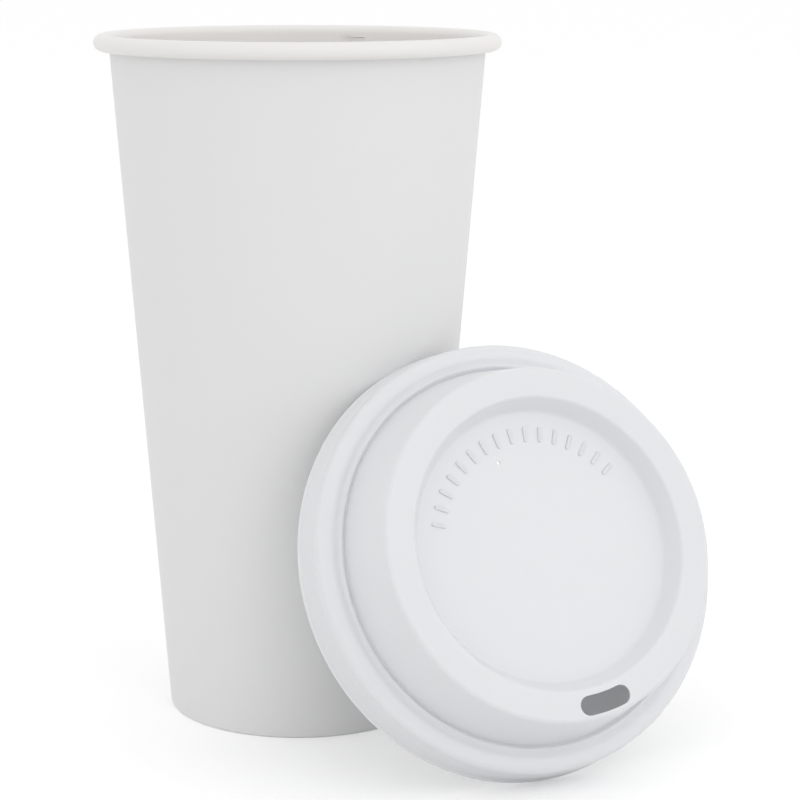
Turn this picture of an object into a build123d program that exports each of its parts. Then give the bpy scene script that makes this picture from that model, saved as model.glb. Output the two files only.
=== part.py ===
"""Paper takeaway cup for a hot drink, with its push-on lid leaning against it.

The cup stands on the floor, with its axis on Z and its foot at the origin. The lid stands on the edge
of its skirt and leans back on the cup's wall, with its axis in a plane parallel to YZ.
"""

from build123d import *
import os
from math import atan, cos, degrees, radians, sin

# Cup: lengths in millimetres, angles in degrees
cup_height = 152.0
rim_diameter = 90.0
foot_diameter = 59.0
wall_board = 0.45            # thickness of the cup wall's board
floor_board = 0.4            # thickness of the board that the cup's floor is pressed from
bead_radius = 1.9            # outside radius of the rolled rim
hem_height = 7.4             # how far the wall's lower edge is folded up inside the foot
floor_height = 8.4           # top of the cup's floor above the table
floor_bend = 0.9             # outside radius of the floor's turned-down edge
skirt_lift = 0.6             # gap between the table and the floor piece's turned-down edge
glue_line = 0.03             # gap on each side of the floor piece's turned-down edge
curl_closing = 0.1           # how much tighter the rim's curl is once it turns back under
curl_tuck = 0.6              # how much tighter it is where its edge tucks up inside
fold_radius = 0.5            # outside radius of the fold under the foot

# Glued lap of the side wall
lap_direction = 52.4         # where the lap stands, from +X towards +Y
lap_width = 7.0
lap_ramp = 4.0               # length over which the outer end of the board climbs over the inner one
lap_start = 0.8              # lower end of the lap above the table
lap_end = 147.9              # upper end of the lap, just under the rolled rim
notch_start = 9.0            # lower end of the step that the lap leaves inside the cup
notch_end = 149.6
lap_bite = 0.15              # how far the lap reaches into the wall that it is glued to

# Lid, measured along its own axis from the edge of its skirt
lid_sheet = 0.4
lid_edge_radius = 46.15
lid_lip_height = 0.55
rib_count = 4
rib_pitch = 1.35
rib_depth = 0.3
rib_radius = 45.75           # outside radius of the lowest rib
rib_taper = 0.08             # each rib is this much smaller than the one below
first_rib = 0.95             # height of the groove under the lowest rib
shoulder_radius = 45.3
shoulder_height = 9.35
crest_radius = 42.3
crest_height = 9.8
trough_radius = 41.2
trough_height = 9.35
step_radius = 40.15
step_height = 9.85
dome_foot_radius = 39.4
dome_foot_height = 8.6
platform_radius = 36.5
platform_height = 23.8
recess_radius = 30.3
recess_floor_radius = 28.2
recess_depth = 4.2

# Openings in the lid, with angles from the lid's own right-hand side, anticlockwise
sip_radius = 33.6            # distance of the sip hole from the lid's axis
sip_width = 4.0
sip_angle = -80.5
sip_span = 13.2              # angle between the centres of the sip hole's round ends
vent_distance = 19.0
vent_angle = 110.0
vent_hole_radius = 0.4
vent_mouth_radius = 0.7
cut_depth = 3.0              # a punch goes this far through the sheet

# Ring of small raised bars pressed into the lid's recess
bar_count = 16
bar_ring_radius = 23.2
bar_first_angle = 38.0
bar_step = 8.4
bar_length = 3.2
bar_width = 0.8
bar_height = 0.25

# How the lid stands: its foot is on the table and its top leans back on the cup
lid_lean = 23.8              # angle between the lid's skirt edge and the vertical
lid_side = 24.2              # how far the lid stands to the side of the cup's axis
lid_front = 52.75            # how far in front of the cup's axis the lid's centre is

# Lines of the cup's section
under_rim_radius = rim_diameter / 2 - 2 * bead_radius + wall_board
bead_level = cup_height - bead_radius
wall_angle = atan((under_rim_radius - foot_diameter / 2) / bead_level)
curl_radius = bead_radius - wall_board
bead_centre = rim_diameter / 2 - bead_radius
foot_stack = 2 * wall_board + floor_board + 2 * glue_line


def wall_radius(height, inset=0.0):
    """Radius of the cup wall's outer face at a height, less an inset square to the wall."""
    outer = foot_diameter / 2 + height * (under_rim_radius - foot_diameter / 2) / bead_level
    return outer - inset / cos(wall_angle)


def polar(radius, angle):
    """Point at a radius and an angle in degrees about the cup's axis."""
    return (radius * cos(radians(angle)), radius * sin(radians(angle)))


def lap_outline(height):
    """Section of the glued lap outside the wall: a ramp up to the outer ply, then its cut edge."""
    face = wall_radius(height)
    top = face + wall_board
    root = face - lap_bite
    half = degrees(lap_width / 2 / face)
    ramp = degrees(lap_ramp / face)
    with BuildSketch(Plane.XY.offset(height)) as outline:
        with BuildLine():
            Polyline(
                polar(root, lap_direction - half - ramp),
                polar(face, lap_direction - half - ramp),
                polar(top, lap_direction - half),
            )
            ThreePointArc(
                polar(top, lap_direction - half),
                polar(top, lap_direction),
                polar(top, lap_direction + half),
            )
            Line(polar(top, lap_direction + half), polar(root, lap_direction + half))
            ThreePointArc(
                polar(root, lap_direction + half),
                polar(root, lap_direction - ramp / 2),
                polar(root, lap_direction - half - ramp),
            )
        make_face()
    return outline.sketch


def notch_outline(height):
    """Section of the hollow inside the wall, where the outer ply climbs over the inner one's edge."""
    face = wall_radius(height, wall_board)
    half = degrees(lap_width / 2 / face)
    ramp = degrees(lap_ramp / face)
    with BuildSketch(Plane.XY.offset(height)) as outline:
        with BuildLine():
            Polyline(
                polar(face - lap_bite, lap_direction - half - ramp),
                polar(face, lap_direction - half - ramp),
                polar(face + wall_board, lap_direction - half),
                polar(face - lap_bite, lap_direction - half),
                close=True,
            )
        make_face()
    return outline.sketch


def board_face(depth):
    """Line of the wall board's section, at a depth below its printed face, from hem to curled edge."""
    curl = curl_radius + depth
    board = FilletPolyline(
        (wall_radius(hem_height, foot_stack - depth), hem_height),
        (wall_radius(depth, foot_stack - depth), depth),
        (wall_radius(depth, depth), depth),
        (bead_centre - curl * cos(wall_angle), bead_level + curl * sin(wall_angle)),
        radius=fold_radius - depth,
    )
    over = JernArc(board @ 1, board % 1, curl, -180)
    under = JernArc(over @ 1, over % 1, curl - curl_closing, -90)
    tuck = JernArc(under @ 1, under % 1, curl - curl_tuck, -110)
    return board @ 0, tuck @ 1


# Side wall: one blank, rolled into a cone, lapped and glued, folded under the foot, curled at the rim
with BuildPart() as side_wall:
    with BuildSketch(Plane.XZ):
        with BuildLine():
            hem_out, tip_out = board_face(0)
            hem_in, tip_in = board_face(wall_board)
            Line(hem_out, hem_in)
            Line(tip_out, tip_in)
        make_face()
    revolve(axis=Axis.Z)
    loft([lap_outline(lap_start), lap_outline(lap_end)], ruled=True)
    loft([notch_outline(notch_start), notch_outline(notch_end)], ruled=True, mode=Mode.SUBTRACT)
side_wall.part.label = "side_wall"

# Floor: a round of board pressed into a shallow dish, its turned-down edge held in the wall's hem
with BuildPart() as bottom_disc:
    with BuildSketch(Plane.XZ):
        with BuildLine():
            FilletPolyline(
                (0, floor_height),
                (wall_radius(floor_height, wall_board + glue_line), floor_height),
                (wall_radius(skirt_lift, wall_board + glue_line), skirt_lift),
                radius=floor_bend,
            )
            offset(amount=floor_board, side=Side.RIGHT, closed=True)
        make_face()
    revolve(axis=Axis.Z)
bottom_disc.part.label = "bottom_disc"

# Lid: one sheet of plastic drawn over a mould
lid_plane = Plane(
    origin=(lid_side, -lid_front, lid_edge_radius * cos(radians(lid_lean))),
    x_dir=(1, 0, 0),
    z_dir=(0, -cos(radians(lid_lean)), sin(radians(lid_lean))),
)
lid_section = Plane(lid_plane.origin, x_dir=lid_plane.x_dir, z_dir=-lid_plane.y_dir)
skirt_points = [(lid_edge_radius, 0), (lid_edge_radius, lid_lip_height)]
for rib in range(rib_count):
    ring = rib_radius - rib * rib_taper
    level = first_rib + rib * rib_pitch
    skirt_points.append((ring - rib_depth, level))
    skirt_points.append((ring, level + 0.5 * rib_pitch))
last_groove = (rib_radius - rib_count * rib_taper - rib_depth, first_rib + rib_count * rib_pitch)
skirt_points.append(last_groove)
top_corners = [              # each corner above the skirt, with the radius of its outer face
    ((shoulder_radius, shoulder_height), 1.6),
    ((crest_radius, crest_height), 2.4),
    ((trough_radius, trough_height), 1.2),
    ((step_radius, step_height), 0.55),
    ((dome_foot_radius, dome_foot_height), 0.3),
    ((platform_radius, platform_height), 1.0),
    ((recess_radius, platform_height), 0.8),
    ((recess_floor_radius, platform_height - recess_depth), 0.9),
]
lid_points = skirt_points + [corner for corner, radius in top_corners]
lid_points.append((0, platform_height - recess_depth))


def lid_face(depth):
    """Line of the lid's section at a depth below its outer face: mitred ribs, then rounded corners."""
    points = [Vector(x, y) for x, y in lid_points]
    runs = [(end - start).normalized() for start, end in zip(points, points[1:])]
    inward = [run.rotate(Axis.Z, 90) for run in runs]
    line = [points[0] + inward[0] * depth]
    radii = []
    for corner in range(1, len(runs)):
        before, after = inward[corner - 1], inward[corner]
        line.append(points[corner] + (before + after) * (depth / (1 + before.dot(after))))
        if corner >= len(skirt_points):
            turns_in = before.cross(after).Z > 0
            radius = top_corners[corner - len(skirt_points)][1]
            radii.append(radius - depth if turns_in else radius + depth)
    line.append(points[-1] + inward[-1] * depth)
    Polyline(*line[: len(skirt_points)])
    FilletPolyline(*line[len(skirt_points) - 1 :], radius=radii)
    return line[0], line[-1]


with BuildPart() as lid:
    with BuildSketch(lid_section):
        with BuildLine():
            edge_out, middle_out = lid_face(0)
            edge_in, middle_in = lid_face(lid_sheet)
            Line(edge_out, edge_in)
            Line(middle_out, middle_in)
        make_face()
    revolve(axis=Axis(lid_plane.origin, lid_plane.z_dir))
    with BuildSketch(lid_plane.offset(platform_height)):
        with BuildLine(mode=Mode.PRIVATE):
            sip_arc = CenterArc((0, 0), sip_radius, sip_angle - sip_span / 2, sip_span)
        SlotArc(sip_arc, sip_width)
    extrude(amount=cut_depth, both=True, mode=Mode.SUBTRACT)
    with BuildSketch(lid_plane.offset(platform_height - recess_depth)):
        with PolarLocations(bar_ring_radius, bar_count, bar_first_angle, bar_step * bar_count):
            SlotOverall(bar_length, bar_width)
    extrude(amount=bar_height)
    with Locations(lid_plane.offset(platform_height - recess_depth)):
        with PolarLocations(vent_distance, 1, vent_angle):
            CounterSinkHole(vent_hole_radius, vent_mouth_radius, depth=cut_depth)
lid.part.label = "lid"

os.makedirs("parts", exist_ok=True)
for piece in (side_wall, bottom_disc, lid):
    export_step(piece.part, f"parts/{piece.part.label}.step")
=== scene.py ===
"""Paper takeaway cup with its push-on lid: modelled pieces, finishes and the studio they stand in."""

import logging
from dataclasses import dataclass, field
from enum import Enum
from math import atan, cos, hypot, pi, radians, sin, tan, tau

import bmesh
import bpy
from mathutils import Matrix, Vector


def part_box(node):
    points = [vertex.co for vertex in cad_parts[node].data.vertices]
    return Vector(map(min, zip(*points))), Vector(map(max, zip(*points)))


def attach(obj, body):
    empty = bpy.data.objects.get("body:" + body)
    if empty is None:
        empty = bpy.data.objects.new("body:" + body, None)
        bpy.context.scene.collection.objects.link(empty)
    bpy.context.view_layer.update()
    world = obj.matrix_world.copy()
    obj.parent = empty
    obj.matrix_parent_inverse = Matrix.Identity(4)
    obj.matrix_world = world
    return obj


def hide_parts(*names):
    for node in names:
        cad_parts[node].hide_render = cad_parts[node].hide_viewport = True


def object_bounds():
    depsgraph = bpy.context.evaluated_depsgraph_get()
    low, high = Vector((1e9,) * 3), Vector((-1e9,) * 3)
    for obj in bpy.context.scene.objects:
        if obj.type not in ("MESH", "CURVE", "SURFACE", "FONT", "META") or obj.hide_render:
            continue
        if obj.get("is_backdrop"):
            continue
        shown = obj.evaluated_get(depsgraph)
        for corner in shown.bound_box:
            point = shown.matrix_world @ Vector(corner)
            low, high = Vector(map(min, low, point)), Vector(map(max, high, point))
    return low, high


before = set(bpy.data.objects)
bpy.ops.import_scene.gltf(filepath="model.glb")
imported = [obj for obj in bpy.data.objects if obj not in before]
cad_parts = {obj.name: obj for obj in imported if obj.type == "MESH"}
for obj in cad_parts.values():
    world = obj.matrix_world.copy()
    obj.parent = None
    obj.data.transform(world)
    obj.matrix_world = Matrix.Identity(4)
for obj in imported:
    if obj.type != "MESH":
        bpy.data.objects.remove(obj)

LOG = logging.getLogger("paper_cup")
MM = 0.001
FULL_TURN_STEPS = 240
SHARP_ANGLE = radians(38)

Point = tuple[float, float]


class Skin(Enum):
    """Which face of a sheet a material slot dresses."""

    OUTER = 0
    INNER = 1


# ---------------------------------------------------------------------------------------------
# Mesh helpers
# ---------------------------------------------------------------------------------------------


def chain(bm: bmesh.types.BMesh, points: list[Point]) -> list[bmesh.types.BMVert]:
    """Join points of a section, given as radius and height, by edges in the XZ plane.

    Args:
        bm: The mesh that receives the edges.
        points: Radius and height of each corner, in millimetres.

    Returns:
        The vertices of the chain, in order.
    """
    verts = [bm.verts.new((x * MM, 0.0, z * MM)) for x, z in points]
    for first, second in zip(verts, verts[1:]):
        bm.edges.new((first, second))
    return verts


def roll_on(
    bm: bmesh.types.BMesh, end: bmesh.types.BMVert, centre: Point, angle: float, steps: int
) -> bmesh.types.BMVert:
    """Carry a section on by an arc about a centre.

    Args:
        bm: The mesh that holds the section.
        end: The vertex that the arc starts from.
        centre: Radius and height of the arc's centre, in millimetres.
        angle: Angle that the arc turns through, in radians, clockwise when positive.
        steps: How many edges the arc has.

    Returns:
        The vertex at the arc's far end.
    """
    made = bmesh.ops.spin(
        bm,
        geom=[end],
        cent=(centre[0] * MM, 0.0, centre[1] * MM),
        axis=(0.0, 1.0, 0.0),
        angle=angle,
        steps=steps,
    )
    return next(item for item in made["geom_last"] if isinstance(item, bmesh.types.BMVert))


def turn_full(bm: bmesh.types.BMesh, start_angle: float = 0.0) -> None:
    """Turn a section about Z into a closed surface, with merged seam and poles.

    Args:
        bm: The mesh that holds the section, in the XZ plane.
        start_angle: Where the section stands before it turns, in radians.
    """
    turn = Matrix.Rotation(start_angle, 3, "Z")
    bmesh.ops.rotate(bm, verts=bm.verts[:], cent=(0, 0, 0), matrix=turn)
    bmesh.ops.spin(
        bm,
        geom=bm.verts[:] + bm.edges[:],
        cent=(0, 0, 0),
        axis=(0, 0, 1),
        angle=tau,
        steps=FULL_TURN_STEPS,
        use_merge=True,
    )
    bmesh.ops.remove_doubles(bm, verts=bm.verts[:], dist=0.004 * MM)
    bmesh.ops.recalc_face_normals(bm, faces=bm.faces[:])


def ring_edges(bm: bmesh.types.BMesh, radius: float, height: float) -> list[bmesh.types.BMEdge]:
    """Find the edges of a ring that runs round Z.

    Args:
        bm: The mesh that holds the ring.
        radius: Radius of the ring, in millimetres.
        height: Height of the ring, in millimetres.

    Returns:
        The edges of the ring.
    """
    near = 0.02 * MM

    def on_ring(vert: bmesh.types.BMVert) -> bool:
        """Tell whether a vertex lies on the ring.

        Args:
            vert: The vertex.

        Returns:
            True if it is on the ring.
        """
        return (
            abs(hypot(vert.co.x, vert.co.y) - radius * MM) < near
            and abs(vert.co.z - height * MM) < near
        )

    return [edge for edge in bm.edges if all(on_ring(vert) for vert in edge.verts)]


def round_ring(
    bm: bmesh.types.BMesh, corner: Point, before: Point, after: Point, radius: float, steps: int
) -> None:
    """Round one ring-shaped corner of a turned surface.

    Args:
        bm: The turned surface.
        corner: Radius and height of the corner, in millimetres.
        before: The section's point before the corner.
        after: The section's point after the corner.
        radius: Radius that the corner gets, in millimetres.
        steps: How many facets the rounding has.
    """
    into = (Vector(corner) - Vector(before)).normalized()
    out = (Vector(after) - Vector(corner)).normalized()
    bend = into.angle(out)
    bmesh.ops.bevel(
        bm,
        geom=ring_edges(bm, *corner),
        offset=radius * tan(bend / 2) * MM,
        offset_type="OFFSET",
        segments=steps,
        profile=0.5,
        affect="EDGES",
        clamp_overlap=False,
        material=-1,
    )


def spread_in_z(edge: bmesh.types.BMEdge) -> float:
    """Measure how far apart an edge's ends are in height.

    Args:
        edge: The edge.

    Returns:
        The difference in height, in metres.
    """
    return abs((edge.verts[0].co - edge.verts[1].co).z)


def round_edges(
    bm: bmesh.types.BMesh, edges: list[bmesh.types.BMEdge], radius: float, steps: int
) -> None:
    """Round edges with a bevel.

    Args:
        bm: The mesh that is worked on.
        edges: The edges to round.
        radius: Offset of the bevel, in millimetres.
        steps: How many facets the rounding has.
    """
    bmesh.ops.bevel(
        bm,
        geom=edges,
        offset=radius * MM,
        segments=steps,
        profile=0.5,
        affect="EDGES",
        material=-1,
    )


def face_up(bm: bmesh.types.BMesh, up: bool) -> None:
    """Turn a surface of revolution so that its highest flat face looks up, or its lowest looks down.

    Args:
        bm: The surface, whose faces already agree with each other.
        up: Whether the highest face is tested, and not the lowest.
    """
    level = max if up else min
    bm.normal_update()
    flat = level(bm.faces, key=lambda face: round(face.calc_center_median().z, 7))
    if (flat.normal.z > 0) != up:
        bmesh.ops.reverse_faces(bm, faces=bm.faces[:])
    bm.normal_update()


def thicken(bm: bmesh.types.BMesh, thickness: float) -> None:
    """Give a sheet its thickness, inwards, and mark which faces belong to its inner side.

    Args:
        bm: The surface of the sheet's outer face, with its normals outwards.
        thickness: Thickness in millimetres.
    """
    outer = set(bm.faces)
    bmesh.ops.solidify(bm, geom=bm.faces[:], thickness=thickness * MM)
    for face in bm.faces:
        face.material_index = Skin.OUTER.value if face in outer else Skin.INNER.value


def finish_piece(
    bm: bmesh.types.BMesh, name: str, materials: list[bpy.types.Material], replaced: str
) -> bpy.types.Object:
    """Turn a finished mesh into a piece that stands for a CAD node.

    Args:
        bm: The finished mesh, which is freed here.
        name: Name of the piece.
        materials: Materials in slot order.
        replaced: The CAD node that the piece stands for.

    Returns:
        The new object.
    """
    mesh = bpy.data.meshes.new(name)
    bm.to_mesh(mesh)
    bm.free()
    mesh.polygons.foreach_set("use_smooth", [True] * len(mesh.polygons))
    mesh.set_sharp_from_angle(angle=SHARP_ANGLE)
    for material in materials:
        mesh.materials.append(material)
    piece = bpy.data.objects.new(name, mesh)
    bpy.context.scene.collection.objects.link(piece)
    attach(piece, "root")
    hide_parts(replaced)
    LOG.info("%s: %d faces", name, len(mesh.polygons))
    return piece


# ---------------------------------------------------------------------------------------------
# Shader node groups
# ---------------------------------------------------------------------------------------------


def new_group(name: str, inputs: dict[str, float], outputs: dict[str, str]) -> bpy.types.NodeTree:
    """Make an empty shader node group with named sockets.

    Args:
        name: Name of the group.
        inputs: Default of each float input, by name.
        outputs: Socket type of each output, by name.

    Returns:
        The group's node tree, with its Group Input and Group Output nodes.
    """
    tree = bpy.data.node_groups.new(name, "ShaderNodeTree")
    for title, value in inputs.items():
        socket = tree.interface.new_socket(title, in_out="INPUT", socket_type="NodeSocketFloat")
        socket.default_value = value
    for title, kind in outputs.items():
        tree.interface.new_socket(title, in_out="OUTPUT", socket_type=kind)
    tree.nodes.new("NodeGroupInput")
    tree.nodes.new("NodeGroupOutput")
    return tree


def group_ends(tree: bpy.types.NodeTree) -> tuple[bpy.types.Node, bpy.types.Node]:
    """Find the Group Input and Group Output nodes of a group.

    Args:
        tree: The group's node tree.

    Returns:
        The input node and the output node.
    """
    start = next(node for node in tree.nodes if node.bl_idname == "NodeGroupInput")
    end = next(node for node in tree.nodes if node.bl_idname == "NodeGroupOutput")
    return start, end


def add_math(
    tree: bpy.types.NodeTree, operation: str, first: object, second: object
) -> bpy.types.NodeSocket:
    """Add a Math node.

    Args:
        tree: The node tree.
        operation: What the node does.
        first: A socket or a number.
        second: A socket or a number.

    Returns:
        The node's output socket.
    """
    node = tree.nodes.new("ShaderNodeMath")
    node.operation = operation
    for socket, value in zip(node.inputs, (first, second)):
        if isinstance(value, bpy.types.NodeSocket):
            tree.links.new(value, socket)
        else:
            socket.default_value = value
    return node.outputs["Value"]


def add_noise(
    tree: bpy.types.NodeTree,
    place: bpy.types.NodeSocket,
    scale: object,
    detail: float,
    roughness: float = 0.55,
) -> bpy.types.NodeSocket:
    """Add a Noise Texture read at a place, and give its factor.

    Args:
        tree: The node tree.
        place: Coordinates that the noise is read at.
        scale: A socket or a number.
        detail: Octaves of the noise.
        roughness: How strong its finer octaves are.

    Returns:
        The noise's factor socket.
    """
    node = tree.nodes.new("ShaderNodeTexNoise")
    tree.links.new(place, node.inputs["Vector"])
    if isinstance(scale, bpy.types.NodeSocket):
        tree.links.new(scale, node.inputs["Scale"])
    else:
        node.inputs["Scale"].default_value = scale
    node.inputs["Detail"].default_value = detail
    node.inputs["Roughness"].default_value = roughness
    return node.outputs["Fac"]


def object_place(tree: bpy.types.NodeTree, stretch: Point = (1.0, 1.0)) -> bpy.types.NodeSocket:
    """Object coordinates, stretched across and along the piece.

    Args:
        tree: The node tree.
        stretch: Scale across the piece, in X and Y, and along it, in Z.

    Returns:
        The coordinates' socket.
    """
    place = tree.nodes.new("ShaderNodeTexCoord")
    mapping = tree.nodes.new("ShaderNodeMapping")
    mapping.inputs["Scale"].default_value = (stretch[0], stretch[0], stretch[1])
    tree.links.new(place.outputs["Object"], mapping.inputs["Vector"])
    return mapping.outputs["Vector"]


def build_fibre_group() -> bpy.types.NodeTree:
    """Board fibres: short matted strands, a soft cloud of formation, and the height of both.

    Returns:
        A group with a cloudy Mottle and a Height output, both from 0 to 1.
    """
    tree = new_group(
        "board_fibre",
        {"Fibre Scale": 2600.0, "Cloud Scale": 90.0, "Cloud Share": 0.45},
        {"Mottle": "NodeSocketFloat", "Height": "NodeSocketFloat"},
    )
    start, end = group_ends(tree)
    across = add_noise(tree, object_place(tree, (1.0, 0.35)), start.outputs["Fibre Scale"], 5.0, 0.65)
    along = add_noise(tree, object_place(tree, (0.45, 1.0)), start.outputs["Fibre Scale"], 4.0, 0.6)
    cloud = add_noise(tree, object_place(tree), start.outputs["Cloud Scale"], 3.0)
    strands = add_math(tree, "MULTIPLY", add_math(tree, "ADD", across, along), 0.5)
    lift = add_math(tree, "SUBTRACT", cloud, strands)
    share = add_math(tree, "MULTIPLY", lift, start.outputs["Cloud Share"])
    tree.links.new(add_math(tree, "ADD", strands, share), end.inputs["Height"])
    tree.links.new(cloud, end.inputs["Mottle"])
    return tree


def build_moulding_group() -> bpy.types.NodeTree:
    """Drawn plastic: the mould's fine blast texture over slow waves left by the draw.

    Returns:
        A group with a Wave and a Height output, both from 0 to 1.
    """
    tree = new_group(
        "drawn_sheet",
        {"Grain Scale": 3200.0, "Wave Scale": 55.0},
        {"Wave": "NodeSocketFloat", "Height": "NodeSocketFloat"},
    )
    start, end = group_ends(tree)
    place = object_place(tree)
    grain = add_noise(tree, place, start.outputs["Grain Scale"], 3.0, 0.6)
    wave = add_noise(tree, place, start.outputs["Wave Scale"], 2.0, 0.4)
    mixed = add_math(tree, "ADD", add_math(tree, "MULTIPLY", grain, 0.35), wave)
    tree.links.new(wave, end.inputs["Wave"])
    tree.links.new(add_math(tree, "MULTIPLY", mixed, 0.75), end.inputs["Height"])
    return tree


# ---------------------------------------------------------------------------------------------
# Finishes
# ---------------------------------------------------------------------------------------------


def new_material(name: str) -> tuple[bpy.types.Material, bpy.types.Node]:
    """Make a node material.

    Args:
        name: Name of the material.

    Returns:
        The material and its Principled shader.
    """
    material = bpy.data.materials.new(name)
    material.use_nodes = True
    return material, material.node_tree.nodes["Principled BSDF"]


def spread(
    tree: bpy.types.NodeTree, mask: bpy.types.NodeSocket, low: float, high: float
) -> bpy.types.NodeSocket:
    """Map a mask from 0 to 1 onto a range of numbers.

    Args:
        tree: The node tree.
        mask: Socket of the mask.
        low: Value where the mask is 0.
        high: Value where the mask is 1.

    Returns:
        The socket of the mapped value.
    """
    node = tree.nodes.new("ShaderNodeMapRange")
    node.inputs["To Min"].default_value = low
    node.inputs["To Max"].default_value = high
    tree.links.new(mask, node.inputs["Value"])
    return node.outputs["Result"]


def tint(
    tree: bpy.types.NodeTree,
    mask: bpy.types.NodeSocket,
    first: tuple[float, float, float],
    second: tuple[float, float, float],
) -> bpy.types.NodeSocket:
    """Mix two colours by a mask from 0 to 1.

    Args:
        tree: The node tree.
        mask: Socket of the mask.
        first: Colour where the mask is 0.
        second: Colour where the mask is 1.

    Returns:
        The socket of the mixed colour.
    """
    node = tree.nodes.new("ShaderNodeMix")
    node.data_type = "RGBA"
    tree.links.new(mask, node.inputs["Factor"])
    node.inputs["A"].default_value = (*first, 1.0)
    node.inputs["B"].default_value = (*second, 1.0)
    return node.outputs["Result"]


def emboss(
    tree: bpy.types.NodeTree, shader: bpy.types.Node, height: bpy.types.NodeSocket, depth: float
) -> None:
    """Feed a height to a shader's normal through a Bump node.

    Args:
        tree: The node tree.
        shader: The Principled shader.
        height: Socket of the height, from 0 to 1.
        depth: Depth that a height of 1 stands for, in metres.
    """
    bump = tree.nodes.new("ShaderNodeBump")
    bump.inputs["Strength"].default_value = 1.0
    bump.inputs["Distance"].default_value = depth
    tree.links.new(height, bump.inputs["Height"])
    tree.links.new(bump.outputs["Normal"], shader.inputs["Normal"])


@dataclass(frozen=True)
class CoatedBoard:
    """White cup board under a thin coat, on its outer or its inner face."""

    name: str
    light: tuple[float, float, float]
    dark: tuple[float, float, float]
    smooth: float
    rough: float
    fibre_depth: float
    specular: float = 0.4

    def build(self, fibre: bpy.types.NodeTree) -> bpy.types.Material:
        """Make the material.

        Args:
            fibre: The node group of board fibres.

        Returns:
            The material.
        """
        material, shader = new_material(self.name)
        tree = material.node_tree
        group = tree.nodes.new("ShaderNodeGroup")
        group.node_tree = fibre
        colour = tint(tree, group.outputs["Mottle"], self.dark, self.light)
        tree.links.new(colour, shader.inputs["Base Color"])
        roughness = spread(tree, group.outputs["Height"], self.smooth, self.rough)
        tree.links.new(roughness, shader.inputs["Roughness"])
        shader.inputs["Specular IOR Level"].default_value = self.specular
        shader.inputs["IOR"].default_value = 1.5
        emboss(tree, shader, group.outputs["Height"], self.fibre_depth)
        return material


@dataclass(frozen=True)
class DrawnPlastic:
    """Thin white lid plastic: satin, with a little light passing through it."""

    name: str
    light: tuple[float, float, float]
    dark: tuple[float, float, float]
    smooth: float
    rough: float
    grain_depth: float
    glow: float = 0.5

    def build(self, moulding: bpy.types.NodeTree) -> bpy.types.Material:
        """Make the material.

        Args:
            moulding: The node group of drawn plastic.

        Returns:
            The material.
        """
        material, shader = new_material(self.name)
        tree = material.node_tree
        group = tree.nodes.new("ShaderNodeGroup")
        group.node_tree = moulding
        colour = tint(tree, group.outputs["Wave"], self.dark, self.light)
        tree.links.new(colour, shader.inputs["Base Color"])
        roughness = spread(tree, group.outputs["Wave"], self.smooth, self.rough)
        tree.links.new(roughness, shader.inputs["Roughness"])
        shader.inputs["IOR"].default_value = 1.57
        shader.inputs["Subsurface Weight"].default_value = self.glow
        shader.inputs["Subsurface Radius"].default_value = (1.0, 0.95, 0.9)
        shader.inputs["Subsurface Scale"].default_value = 0.0008
        emboss(tree, shader, group.outputs["Height"], self.grain_depth)
        return material


# ---------------------------------------------------------------------------------------------
# The cup
# ---------------------------------------------------------------------------------------------


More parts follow.
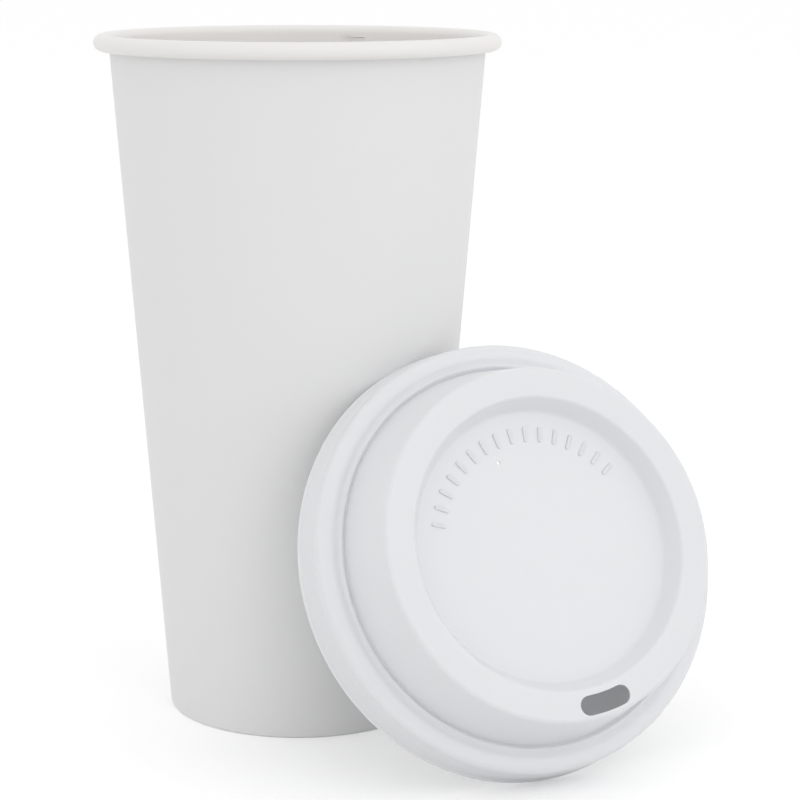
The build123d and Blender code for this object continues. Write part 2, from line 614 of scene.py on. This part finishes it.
@dataclass
class CupWall:
    """The rolled blank: cone, curled rim, folded foot and glued lap. Lengths in millimetres."""

    outer_finish: bpy.types.Material
    inner_finish: bpy.types.Material
    board: float = 0.45
    floor_board: float = 0.46
    bead: float = 1.9
    hem: float = 7.4
    fold: float = 0.5
    curl_closing: float = 0.1
    curl_tuck: float = 0.5
    lap_direction: float = radians(52.4)
    lap_half: float = radians(5.55)
    ramp_columns: int = 4
    lap_columns: int = 24
    lap_rows: int = 14
    lap_bite: float = 0.03
    lap_share: float = 0.8
    notch_low: float = 9.0
    notch_high: float = 149.3
    notch_lip: float = 0.3
    wall_rows: int = 12
    lap_low: float = 0.8
    lap_high: float = 147.9
    rim_radius: float = field(init=False)
    height: float = field(init=False)
    foot: float = 29.5

    def __post_init__(self) -> None:
        """Take the rim's size and the height from the frame."""
        low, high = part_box("side_wall")
        self.rim_radius = (high.x - low.x) / 2 / MM
        self.height = (high.z - low.z) / MM

    @property
    def curl(self) -> float:
        """Find the radius of the printed face where it rolls over inside the rim.

        Returns:
            The radius.
        """
        return self.bead - self.board

    @property
    def under_rim(self) -> float:
        """Find the radius of the wall's outer face at the level of the rim's centre.

        Returns:
            The radius.
        """
        return self.rim_radius - 2 * self.bead + self.board

    @property
    def slope(self) -> float:
        """Find the angle of the wall from the vertical, in radians.

        Returns:
            The angle.
        """
        return atan((self.under_rim - self.foot) / (self.height - self.bead))

    def face(self, height: float, inset: float = 0.0) -> float:
        """Find the radius of the wall's outer face, less an inset square to the wall.

        Args:
            height: Height above the table.
            inset: How far inside the outer face.

        Returns:
            The radius.
        """
        rise = (self.under_rim - self.foot) / (self.height - self.bead)
        return self.foot + height * rise - inset / cos(self.slope)

    def section(self, bm: bmesh.types.BMesh) -> None:
        """Draw the printed face's section, from the hem's edge round the foot and over the rim.

        Args:
            bm: The empty mesh that receives the section.
        """
        stack = 2 * self.board + self.floor_board
        flat_in = self.face(0, stack) + self.fold
        flat_out = self.face(0) - self.fold
        hem_levels = (self.hem, self.fold)
        hem = chain(bm, [(self.face(level, stack), level) for level in hem_levels])
        turned = roll_on(bm, hem[-1], (flat_in, self.fold), -pi / 2, 5)
        flat = bm.verts.new((flat_out * MM, 0, 0))
        bm.edges.new((turned, flat))
        foot = roll_on(bm, flat, (flat_out, self.fold), -pi / 2, 5)
        levels = [self.lap_low + 0.6, 5.0, self.notch_low - self.notch_lip, self.notch_low]
        rise = (self.lap_high - self.notch_low) / self.wall_rows
        levels += [self.notch_low + rise * (step + 1) for step in range(self.wall_rows)]
        levels += [self.notch_high - self.notch_lip, self.notch_high]
        wall = chain(bm, [(self.face(level), level) for level in levels])
        bm.edges.new((foot, wall[0]))
        centre = (self.rim_radius - self.bead, self.height - self.bead)
        shoulder = (
            (centre[0] - self.curl * cos(self.slope)) * MM,
            0.0,
            (centre[1] + self.curl * sin(self.slope)) * MM,
        )
        start = bm.verts.new(shoulder)
        bm.edges.new((wall[-1], start))
        over = roll_on(bm, start, centre, pi, 20)
        centre = (centre[0] + self.curl_closing, centre[1])
        under = roll_on(bm, over, centre, pi / 2, 10)
        centre = (centre[0], centre[1] - self.curl_tuck)
        roll_on(bm, under, centre, radians(110), 10)
        bmesh.ops.remove_doubles(bm, verts=bm.verts[:], dist=0.002 * MM)

    def sink_notch(self, bm: bmesh.types.BMesh) -> None:
        """Hollow the inner face beside the lap, where the outer ply climbs over the inner one.

        Args:
            bm: The mesh of the thickened wall.
        """
        lap_edge = self.lap_direction - self.lap_half
        column = tau / FULL_TURN_STEPS
        for vert in bm.verts:
            radius = hypot(vert.co.x, vert.co.y)
            height = vert.co.z / MM
            inner = self.face(height) * MM - radius > 0.3 * self.board * MM
            if not inner or not self.notch_low - 0.1 < height < self.notch_high - 0.2:
                continue
            turn = Vector((cos(lap_edge), sin(lap_edge))).angle_signed(vert.co.xy) / column
            if -0.05 < turn + self.ramp_columns and turn < 0.05:
                depth = (1 + turn / self.ramp_columns) * (self.board - 0.03) * MM
                vert.co.xy *= (radius + depth) / radius
            elif 0.95 < turn < 1.05:
                vert.co.xy = Matrix.Rotation(-0.85 * column, 2) @ vert.co.xy

    def lap(self, bm: bmesh.types.BMesh) -> None:
        """Add the outer ply of the lap, with the ramp that leads up to it.

        Args:
            bm: The mesh of the thickened wall.
        """
        strip = bmesh.new()
        rise = (self.lap_high - self.lap_low) / self.lap_rows
        heights = [self.lap_low + rise * step for step in range(self.lap_rows + 1)]
        chain(strip, [(self.face(height, self.lap_bite), height) for height in heights])
        ramp = self.ramp_columns * tau / FULL_TURN_STEPS
        start = self.lap_direction - self.lap_half - ramp
        span = ramp + 2 * self.lap_half
        turn = Matrix.Rotation(start, 3, "Z")
        bmesh.ops.rotate(strip, verts=strip.verts[:], cent=(0, 0, 0), matrix=turn)
        bmesh.ops.spin(
            strip,
            geom=strip.verts[:] + strip.edges[:],
            cent=(0, 0, 0),
            axis=(0, 0, 1),
            angle=span,
            steps=self.lap_columns,
        )
        first = Vector((cos(start), sin(start)))
        for vert in strip.verts:
            share = min(abs(first.angle_signed(vert.co.xy)) / ramp, 1.0)
            radius = hypot(vert.co.x, vert.co.y)
            vert.co.xy *= (radius + share * (self.board + self.lap_bite) * MM) / radius
        bmesh.ops.recalc_face_normals(strip, faces=strip.faces[:])
        outwards = sum(face.normal.xy.dot(face.calc_center_median().xy) for face in strip.faces)
        if outwards < 0:
            bmesh.ops.reverse_faces(strip, faces=strip.faces[:])
        strip.normal_update()
        thicken(strip, self.board * self.lap_share)
        for face in strip.faces:
            face.material_index = Skin.OUTER.value
        mesh = bpy.data.meshes.new("lap_strip")
        strip.to_mesh(mesh)
        strip.free()
        bm.from_mesh(mesh)
        bpy.data.meshes.remove(mesh)

    def build(self) -> bpy.types.Object:
        """Model the wall and dress its two faces.

        Returns:
            The finished piece.
        """
        bm = bmesh.new()
        self.section(bm)
        turn_full(bm, self.lap_direction - self.lap_half)
        face_up(bm, up=False)
        thicken(bm, self.board)
        self.sink_notch(bm)
        self.lap(bm)
        return finish_piece(
            bm, "cup_wall", [self.outer_finish, self.inner_finish], "side_wall"
        )


@dataclass
class CupFloor:
    """The pressed round of board in the foot. Lengths in millimetres."""

    outer_finish: bpy.types.Material
    inner_finish: bpy.types.Material
    board: float = 0.4
    bend: float = 0.9
    rings: int = 5
    foot: float = 29.5
    inset: float = 0.48
    flare: float = 0.081

    def build(self) -> bpy.types.Object:
        """Model the floor and dress its two faces.

        Returns:
            The finished piece.
        """
        low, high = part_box("bottom_disc")
        radius = (high.x - low.x) / 2 / MM
        top = high.z / MM
        edge = low.z / MM
        rim = self.foot - self.inset + edge * self.flare
        points = [(radius * ring / self.rings, top) for ring in range(self.rings)]
        corner = (radius, top)
        points += [corner, (rim, edge)]
        bm = bmesh.new()
        chain(bm, points)
        turn_full(bm)
        face_up(bm, up=True)
        round_ring(bm, corner, points[-3], points[-1], self.bend, 6)
        thicken(bm, self.board)
        return finish_piece(
            bm, "cup_floor", [self.inner_finish, self.outer_finish], "bottom_disc"
        )


# ---------------------------------------------------------------------------------------------
# The lid
# ---------------------------------------------------------------------------------------------


@dataclass
class Lid:
    """The drawn plastic lid, modelled flat on Z and then stood up to lean. Lengths in millimetres."""

    outer_finish: bpy.types.Material
    inner_finish: bpy.types.Material
    sheet: float = 0.4
    lean: float = radians(23.8)
    lip: float = 0.55
    ribs: int = 4
    rib_pitch: float = 1.35
    rib_depth: float = 0.3
    rib_radius: float = 45.75
    rib_taper: float = 0.08
    rib_round: float = 0.12
    first_rib: float = 0.95
    platform: float = 23.8
    recess: float = 4.2
    sip_radius: float = 33.6
    sip_width: float = 4.0
    sip_angle: float = radians(-80.5)
    sip_span: float = radians(13.2)
    vent_distance: float = 19.0
    vent_angle: float = radians(110.0)
    vent_hole: float = 0.4
    vent_mouth: float = 0.7
    vent_sink: float = 0.35
    vent_over: float = 1.0
    vent_drill: float = 2.0
    sip_steps: int = 16
    punch_depth: float = 3.0
    bars: int = 16
    bar_ring: float = 23.2
    bar_first: float = radians(38.0)
    bar_step: float = radians(8.4)
    bar_length: float = 3.2
    bar_width: float = 0.8
    bar_height: float = 0.25
    bar_root: float = 0.15
    bar_corner: float = 0.38
    bar_round: float = 0.14
    edge: float = field(init=False)

    def __post_init__(self) -> None:
        """Take the skirt's size from the frame."""
        low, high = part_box("lid")
        self.edge = (high.x - low.x) / 2 / MM

    def corners(self) -> list[tuple[Point, float]]:
        """List the corners above the ribs.

        Returns:
            Each corner, with the radius that it is rounded to.
        """
        floor = self.platform - self.recess
        return [
            ((45.3, 9.35), 1.6),
            ((42.3, 9.8), 2.4),
            ((41.2, 9.35), 1.2),
            ((40.15, 9.85), 0.55),
            ((39.4, 8.6), 0.3),
            ((36.5, self.platform), 1.0),
            ((30.3, self.platform), 0.8),
            ((28.2, floor), 0.9),
        ]

    def skirt(self) -> list[Point]:
        """List the points of the skirt, from its edge up over the ribs.

        Returns:
            The points.
        """
        points = [(self.edge, 0.0), (self.edge, self.lip)]
        for rib in range(self.ribs):
            ring = self.rib_radius - rib * self.rib_taper
            level = self.first_rib + rib * self.rib_pitch
            points.append((ring - self.rib_depth, level))
            points.append((ring, level + 0.5 * self.rib_pitch))
        last = self.rib_radius - self.ribs * self.rib_taper - self.rib_depth
        points.append((last, self.first_rib + self.ribs * self.rib_pitch))
        return points

    def shell(self, bm: bmesh.types.BMesh) -> None:
        """Model the sheet: turned, rounded at its corners and given its thickness.

        Args:
            bm: The empty mesh that receives the sheet.
        """
        skirt = self.skirt()
        corners = self.corners()
        floor = self.platform - self.recess
        middle = [(radius, floor) for radius in (25.0, 20.0, 12.0, 0.0)]
        line = skirt + [corner for corner, _ in corners] + middle
        chain(bm, line)
        turn_full(bm)
        face_up(bm, up=True)
        for index, (corner, radius) in enumerate(corners):
            here = len(skirt) + index
            round_ring(bm, corner, line[here - 1], line[here + 1], radius, 6)
        for here in range(1, len(skirt)):
            round_ring(bm, line[here], line[here - 1], line[here + 1], self.rib_round, 2)
        thicken(bm, self.sheet)

    def punches(self) -> bpy.types.Object:
        """Solid shapes of the sip hole and the vent hole, to cut from the sheet.

        Returns:
            An object that is removed once it has cut.
        """
        bm = bmesh.new()
        half = self.sip_width / 2
        low = self.platform - self.punch_depth
        line = chain(bm, [(self.sip_radius - half, low), (self.sip_radius + half, low)])
        start = self.sip_angle - self.sip_span / 2
        bmesh.ops.rotate(bm, verts=line, cent=(0, 0, 0), matrix=Matrix.Rotation(start, 3, "Z"))
        swept = bmesh.ops.spin(
            bm,
            geom=bm.verts[:] + bm.edges[:],
            cent=(0, 0, 0),
            axis=(0, 0, 1),
            angle=self.sip_span,
            steps=self.sip_steps,
        )["geom_last"]
        for edge_parts, sign, turn in ((line, -1, start), (swept, 1, start + self.sip_span)):
            pair = [part for part in edge_parts if isinstance(part, bmesh.types.BMVert)]
            outer = max(pair, key=lambda vert: vert.co.xy.length)
            centre = Vector((cos(turn), sin(turn), 0)) * self.sip_radius * MM + Vector((0, 0, low * MM))
            bmesh.ops.spin(bm, geom=[outer], cent=centre, axis=(0, 0, 1), angle=sign * pi, steps=12)
        bmesh.ops.remove_doubles(bm, verts=bm.verts[:], dist=0.004 * MM)
        bmesh.ops.dissolve_faces(bm, faces=bm.faces[:])
        bmesh.ops.delete(bm, geom=bm.faces[:], context="FACES_ONLY")
        rim = [edge for edge in bm.edges if not edge.link_faces]
        inner = [edge for edge in rim if self.inside_sip(edge)]
        bmesh.ops.delete(bm, geom=inner, context="EDGES")
        bmesh.ops.contextual_create(bm, geom=bm.edges[:])
        raised = bmesh.ops.extrude_face_region(bm, geom=bm.faces[:])["geom"]
        lifted = [part for part in raised if isinstance(part, bmesh.types.BMVert)]
        bmesh.ops.translate(bm, verts=lifted, vec=(0, 0, 2 * self.punch_depth * MM))
        floor = self.platform - self.recess
        place = Vector((cos(self.vent_angle), sin(self.vent_angle), 0)) * self.vent_distance * MM
        slant = (self.vent_mouth - self.vent_hole) / self.vent_sink
        cone = self.vent_sink + self.vent_over
        for bottom, top, depth, level in (
            (self.vent_hole, self.vent_hole, self.vent_drill, floor - self.vent_drill / 2),
            (self.vent_hole, self.vent_hole + cone * slant, cone, floor + cone / 2 - self.vent_sink),
        ):
            where = Matrix.Translation(place + Vector((0, 0, level * MM)))
            bmesh.ops.create_cone(
                bm,
                cap_ends=True,
                segments=32,
                radius1=bottom * MM,
                radius2=top * MM,
                depth=depth * MM,
                matrix=where,
            )
        bmesh.ops.recalc_face_normals(bm, faces=bm.faces[:])
        mesh = bpy.data.meshes.new("punches")
        bm.to_mesh(mesh)
        bm.free()
        cutter = bpy.data.objects.new("punches", mesh)
        bpy.context.scene.collection.objects.link(cutter)
        return cutter

    def inside_sip(self, edge: bmesh.types.BMEdge) -> bool:
        """Tell whether an edge closes the sip hole's middle off from its round ends.

        Args:
            edge: An edge of the punch.

        Returns:
            True if it does.
        """
        along = (edge.verts[0].co - edge.verts[1].co).length
        return along > 0.9 * self.sip_width * MM

    def punch(self, bm: bmesh.types.BMesh) -> bmesh.types.BMesh:
        """Cut the sip hole and the vent hole through the sheet.

        Args:
            bm: The closed sheet, which is freed here.

        Returns:
            The sheet with its holes.
        """
        mesh = bpy.data.meshes.new("sheet")
        bm.to_mesh(mesh)
        bm.free()
        blank = bpy.data.objects.new("sheet", mesh)
        bpy.context.scene.collection.objects.link(blank)
        cutter = self.punches()
        cut = blank.modifiers.new("cut", "BOOLEAN")
        cut.operation = "DIFFERENCE"
        cut.solver = "EXACT"
        cut.use_self = False
        cut.object = cutter
        graph = bpy.context.evaluated_depsgraph_get()
        punched = bpy.data.meshes.new_from_object(blank.evaluated_get(graph))
        made = bmesh.new()
        made.from_mesh(punched)
        for data in (blank, cutter):
            bpy.data.objects.remove(data)
        for data in (mesh, punched):
            bpy.data.meshes.remove(data)
        return made

    def emboss_bars(self, bm: bmesh.types.BMesh) -> None:
        """Raise the ring of small bars from the recess's floor.

        Args:
            bm: The mesh of the lid, lying flat.
        """
        tall = self.bar_height + self.bar_root
        size = Vector((self.bar_length, self.bar_width, tall)) * MM
        level = self.platform - self.recess + tall / 2 - self.bar_root
        lift = Matrix.Translation((self.bar_ring * MM, 0, level * MM))
        for index in range(self.bars):
            turn = self.bar_first + index * self.bar_step
            before = set(bm.verts)
            block = bmesh.ops.create_cube(bm, size=1.0)["verts"]
            bmesh.ops.scale(bm, verts=block, vec=size)
            edges = {edge for vert in block for edge in vert.link_edges}
            upright = [edge for edge in edges if spread_in_z(edge) > 0.5 * size.z]
            round_edges(bm, upright, self.bar_corner, 4)
            fresh = [edge for edge in bm.edges if edge.verts[0] not in before]
            top = [edge for edge in fresh if min(vert.co.z for vert in edge.verts) > 0.45 * size.z]
            round_edges(bm, top, self.bar_round, 3)
            verts = [vert for vert in bm.verts if vert not in before]
            bmesh.ops.transform(bm, verts=verts, matrix=Matrix.Rotation(turn, 4, "Z") @ lift)

    def stand(self, bm: bmesh.types.BMesh) -> None:
        """Stand the lid on its skirt and lean it back, where the frame has it.

        Args:
            bm: The mesh of the lid, lying flat.
        """
        low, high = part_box("lid")
        tilt = Matrix.Rotation(pi / 2 - self.lean, 4, "X")
        place = Vector(
            (
                (low.x + high.x) / 2,
                high.y - self.edge * sin(self.lean) * MM,
                self.edge * cos(self.lean) * MM,
            )
        )
        bmesh.ops.transform(bm, verts=bm.verts[:], matrix=Matrix.Translation(place) @ tilt)

    def build(self) -> bpy.types.Object:
        """Model the lid, cut its holes, raise its bars and stand it up.

        Returns:
            The finished piece.
        """
        bm = bmesh.new()
        self.shell(bm)
        bm = self.punch(bm)
        self.emboss_bars(bm)
        self.stand(bm)
        return finish_piece(bm, "sip_lid", [self.outer_finish, self.inner_finish], "lid")


# ---------------------------------------------------------------------------------------------
# The studio
# ---------------------------------------------------------------------------------------------


@dataclass
class Studio:
    """White sweep, soft lamps and the camera. Angles in degrees, lengths in metres."""

    sweep_white: tuple[float, float, float] = (0.86, 0.86, 0.86)
    sweep_lift: float = 0.27
    world_strength: float = 0.84
    camera_side: float = -22.8
    camera_place: tuple[float, float, float] = (-0.2030, -0.4831, 0.17475)
    camera_dip: float = 8.868
    camera_turn: float = 66.053 - 90
    lens: float = 106.2
    shift: Point = (0.068, -0.129)

    def sweep(self) -> None:
        """Lay the white floor, which keeps the object's shadow."""
        bm = bmesh.new()
        bmesh.ops.create_grid(bm, x_segments=1, y_segments=1, size=6.0)
        mesh = bpy.data.meshes.new("floor_sweep")
        bm.to_mesh(mesh)
        bm.free()
        floor = bpy.data.objects.new("floor_sweep", mesh)
        bpy.context.scene.collection.objects.link(floor)
        floor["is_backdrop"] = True
        material, shader = new_material("sweep_paper")
        shader.inputs["Base Color"].default_value = (*self.sweep_white, 1.0)
        shader.inputs["Roughness"].default_value = 0.9
        shader.inputs["Specular IOR Level"].default_value = 0.0
        tree = material.node_tree
        path = tree.nodes.new("ShaderNodeLightPath")
        seen = add_math(tree, "MAXIMUM", path.outputs["Is Camera Ray"], path.outputs["Is Glossy Ray"])
        seen = add_math(tree, "MAXIMUM", seen, path.outputs["Is Transmission Ray"])
        glow = tree.nodes.new("ShaderNodeEmission")
        tree.links.new(add_math(tree, "MULTIPLY", seen, self.sweep_lift), glow.inputs["Strength"])
        both = tree.nodes.new("ShaderNodeAddShader")
        tree.links.new(shader.outputs["BSDF"], both.inputs[0])
        tree.links.new(glow.outputs["Emission"], both.inputs[1])
        tree.links.new(both.outputs["Shader"], tree.nodes["Material Output"].inputs["Surface"])
        mesh.materials.append(material)

    def world(self) -> None:
        """Surround everything with soft white light, pure white where the camera sees it."""
        world = bpy.data.worlds.new("studio_world")
        bpy.context.scene.world = world
        world.use_nodes = True
        tree = world.node_tree
        backdrop = tree.nodes["Background"]
        backdrop.inputs["Color"].default_value = (1.0, 1.0, 1.0, 1.0)
        path = tree.nodes.new("ShaderNodeLightPath")
        seen = add_math(tree, "MAXIMUM", path.outputs["Is Camera Ray"], path.outputs["Is Glossy Ray"])
        seen = add_math(tree, "MAXIMUM", seen, path.outputs["Is Transmission Ray"])
        mix = tree.nodes.new("ShaderNodeMapRange")
        mix.inputs["To Min"].default_value = self.world_strength
        mix.inputs["To Max"].default_value = 1.0
        tree.links.new(seen, mix.inputs["Value"])
        tree.links.new(mix.outputs["Result"], backdrop.inputs["Strength"])

    def lamp(self, name: str, view: Point, distance: float, size: Point, power: float) -> None:
        """Hang a soft box that points at the middle of the object.

        Args:
            name: Name of the lamp.
            view: Its direction round the object from the camera's own, and its height, in degrees.
            distance: How far it is from the middle of the object, in metres.
            size: Its width and height, in metres.
            power: Its power, in watts.
        """
        low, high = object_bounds()
        middle = (low + high) / 2
        around, above = radians(view[0] + self.camera_side), radians(view[1])
        out = Vector((sin(around) * cos(above), -cos(around) * cos(above), sin(above)))
        light = bpy.data.lights.new(name, "AREA")
        light.shape = "RECTANGLE"
        light.size, light.size_y = size
        light.energy = power
        lamp = bpy.data.objects.new(name, light)
        lamp.location = middle + out * distance
        lamp.rotation_euler = (-out).to_track_quat("-Z", "Y").to_euler()
        bpy.context.scene.collection.objects.link(lamp)

    def lamps(self) -> None:
        """Hang the soft boxes: one overhead, one on each side and one in front."""
        self.lamp("top_box", (10.0, 68.0), 1.1, (1.2, 1.2), 0.7)
        self.lamp("left_box", (-46.0, 12.0), 1.0, (0.6, 0.9), 0.6)
        self.lamp("right_box", (66.0, 16.0), 1.0, (0.8, 1.1), 1.1)
        self.lamp("front_box", (30.0, 30.0), 1.2, (0.6, 0.6), 0.5)

    def camera(self) -> None:
        """Place the camera a little above the rim, looking slightly down."""
        data = bpy.data.cameras.new("camera")
        data.sensor_width = 36.0
        data.lens = self.lens
        data.shift_x, data.shift_y = self.shift
        data.clip_start = 0.01
        camera = bpy.data.objects.new("camera", data)
        camera.location = self.camera_place
        camera.rotation_euler = (radians(90 - self.camera_dip), 0.0, radians(self.camera_turn))
        bpy.context.scene.collection.objects.link(camera)
        bpy.context.scene.camera = camera

    def build(self) -> None:
        """Set up the floor, the light and the camera, and the plain view transform."""
        self.sweep()
        self.world()
        self.lamps()
        self.camera()
        bpy.context.scene.view_settings.view_transform = "Standard"


def main() -> None:
    """Build the pieces in order, then the studio."""
    logging.basicConfig(level=logging.INFO, format="%(name)s: %(message)s")
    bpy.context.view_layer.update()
    fibre = build_fibre_group()
    moulding = build_moulding_group()
    printed = CoatedBoard(
        "board_outer", (0.83, 0.83, 0.83), (0.818, 0.818, 0.818), 0.42, 0.62, 0.000012
    ).build(fibre)
    # The inner face's warm tint is the lining's own. Its base colour is also raised above the outer
    # board's: this is painted light that lifts the shaded inside of the cup.
    lining_and_painted_light = CoatedBoard(
        "board_lining_and_painted_light", (0.88, 0.862, 0.842), (0.87, 0.851, 0.83), 0.3, 0.48, 0.000009, 0.5
    ).build(fibre)
    lid_top = DrawnPlastic(
        "lid_outer", (0.81, 0.816, 0.836), (0.802, 0.808, 0.828), 0.3, 0.4, 0.000008
    ).build(moulding)
    lid_under = DrawnPlastic(
        "lid_inner", (0.81, 0.82, 0.84), (0.80, 0.81, 0.832), 0.36, 0.48, 0.00001
    ).build(moulding)
    CupWall(printed, lining_and_painted_light).build()
    CupFloor(printed, lining_and_painted_light).build()
    Lid(lid_top, lid_under).build()
    Studio().build()


if __name__ == "__main__":
    main()
